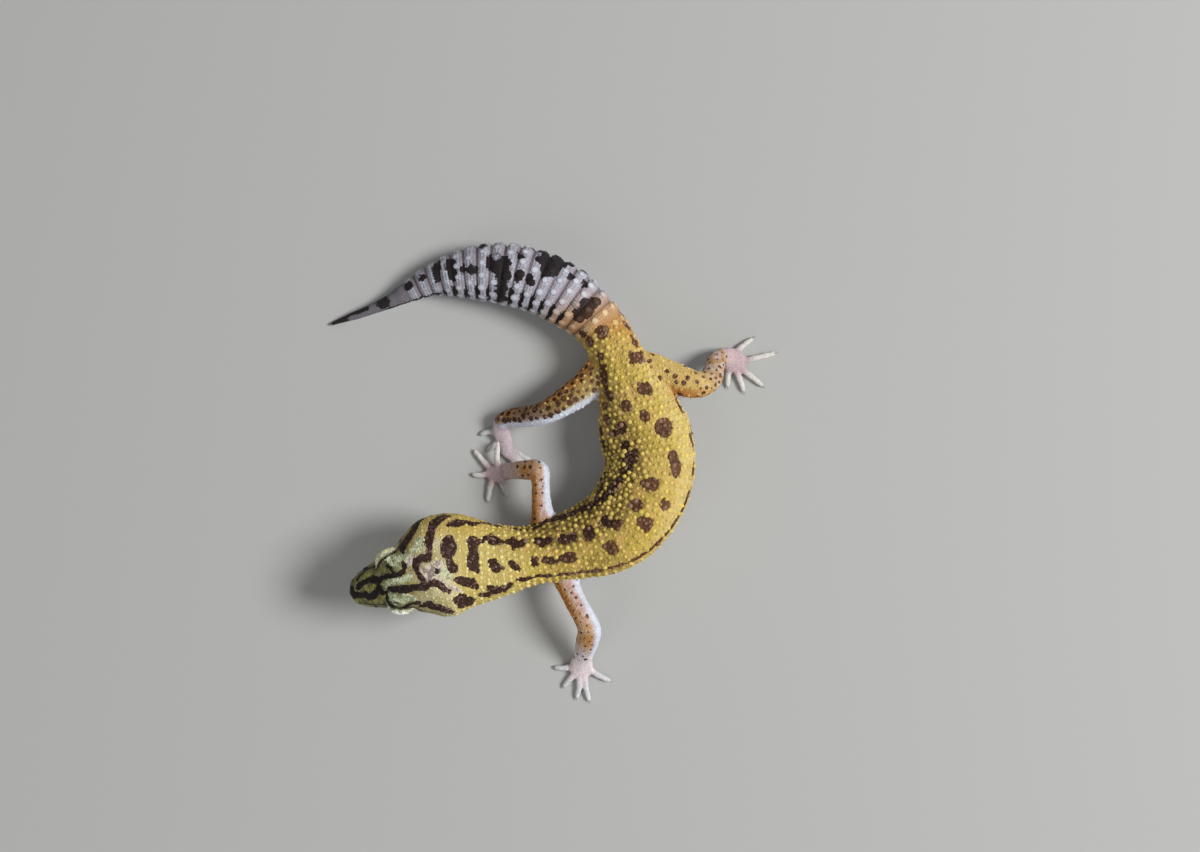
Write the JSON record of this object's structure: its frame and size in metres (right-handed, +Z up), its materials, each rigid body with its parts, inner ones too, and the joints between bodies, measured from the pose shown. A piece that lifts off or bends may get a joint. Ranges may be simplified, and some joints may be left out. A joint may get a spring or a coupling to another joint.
{
  "type": "leopard gecko model",
  "caption": "Life-size still model of a young leopard gecko standing curled in a C, head raised, fat ringed tail laid on the floor.",
  "frame": {"origin": "on the floor, under the middle of the animal's box as it stands", "axes": "+Z up from the floor; the head looks along -Y and the animal's left side is +X"},
  "size_m": [0.1071, 0.1051, 0.0236],
  "materials": {
    "head_skin": "fine scales, yellow with dark brown bars and pale mint lids",
    "back_skin": "small round scales, golden yellow with dark brown spots",
    "tail_skin": "ringed scales, lavender white with black blotches",
    "limb_skin": "fine scales, orange yellow with small brown dots",
    "foot_skin": "fine scales, pale pink to cream",
    "eye_gloss": "wet gloss, veined silver iris with a slit pupil",
    "eardrum": "thin dark skin",
    "claw_horn": "pale translucent horn"
  },
  "bodies": {
    "root": {"head": "head_skin", "lower_jaw": "head_skin", "neck": "head_skin", "trunk_front": "back_skin", "trunk_middle": "back_skin", "trunk_rear": "back_skin", "tail_root": "tail_skin", "tail_middle": "tail_skin", "tail_end": "tail_skin", "eye_left": "eye_gloss", "eye_right": "eye_gloss", "ear_left": "eardrum", "ear_right": "eardrum", "upper_arm_right": "limb_skin", "forearm_right": "limb_skin", "upper_arm_left": "limb_skin", "forearm_left": "limb_skin", "thigh_right": "limb_skin", "shank_right": "limb_skin", "thigh_left": "limb_skin", "shank_left": "limb_skin", "hand_right": "foot_skin", "hand_left": "foot_skin", "foot_right": "foot_skin", "foot_left": "foot_skin", "claw_hand_right_1": "claw_horn", "claw_hand_right_2": "claw_horn", "claw_hand_right_3": "claw_horn", "claw_hand_right_4": "claw_horn", "claw_hand_right_5": "claw_horn", "claw_hand_left_1": "claw_horn", "claw_hand_left_2": "claw_horn", "claw_hand_left_3": "claw_horn", "claw_hand_left_4": "claw_horn", "claw_hand_left_5": "claw_horn", "claw_foot_right_1": "claw_horn", "claw_foot_right_2": "claw_horn", "claw_foot_right_3": "claw_horn", "claw_foot_right_4": "claw_horn", "claw_foot_right_5": "claw_horn", "claw_foot_left_1": "claw_horn", "claw_foot_left_2": "claw_horn", "claw_foot_left_3": "claw_horn", "claw_foot_left_4": "claw_horn", "claw_foot_left_5": "claw_horn"}
  },
  "joints": []
}
